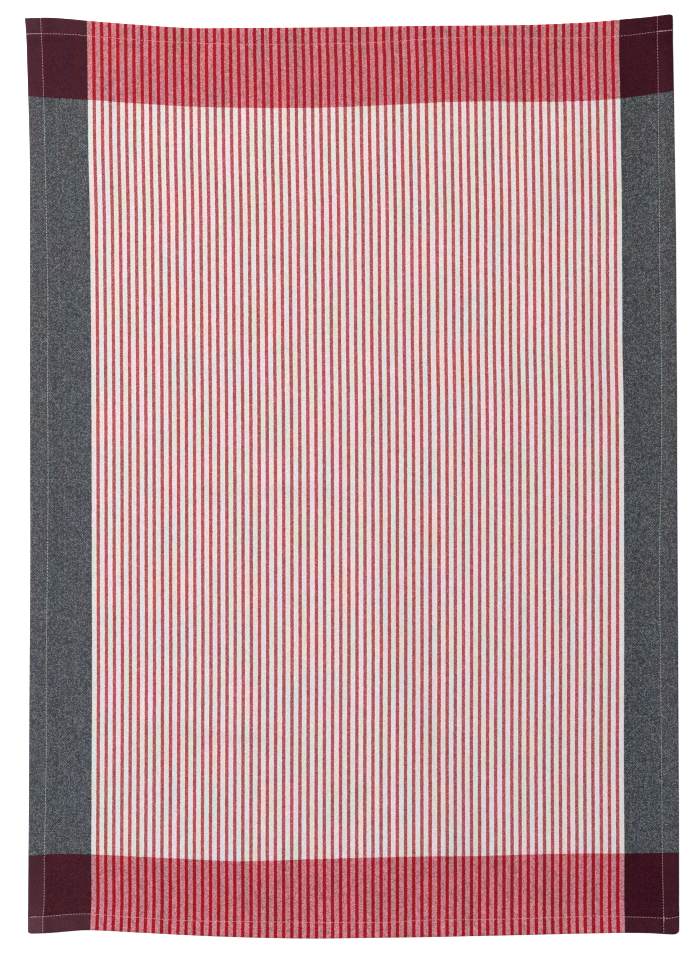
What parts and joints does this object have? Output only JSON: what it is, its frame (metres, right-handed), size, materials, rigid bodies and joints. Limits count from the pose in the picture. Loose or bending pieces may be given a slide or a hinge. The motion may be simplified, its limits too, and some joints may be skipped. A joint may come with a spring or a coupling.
{
  "type": "tea towel",
  "caption": "Rectangular tea towel of striped, bordered cotton cloth with narrow hems on all sides, lying flat.",
  "frame": {"origin": "bottom centre of the box around the lying towel, on the surface that it rests on", "axes": "+X across the towel to the right as its face is seen, +Y up its length, +Z out of its face"},
  "size_m": [0.5006, 0.7074, 0.003],
  "materials": {
    "woven_cloth": "yarn-dyed woven cotton: red and white warp stripes between charcoal borders, a band of red weft at each end",
    "sewing_thread": "off-white spun sewing thread, matt"
  },
  "bodies": {
    "root": {"towel": "woven_cloth"}
  },
  "joints": []
}
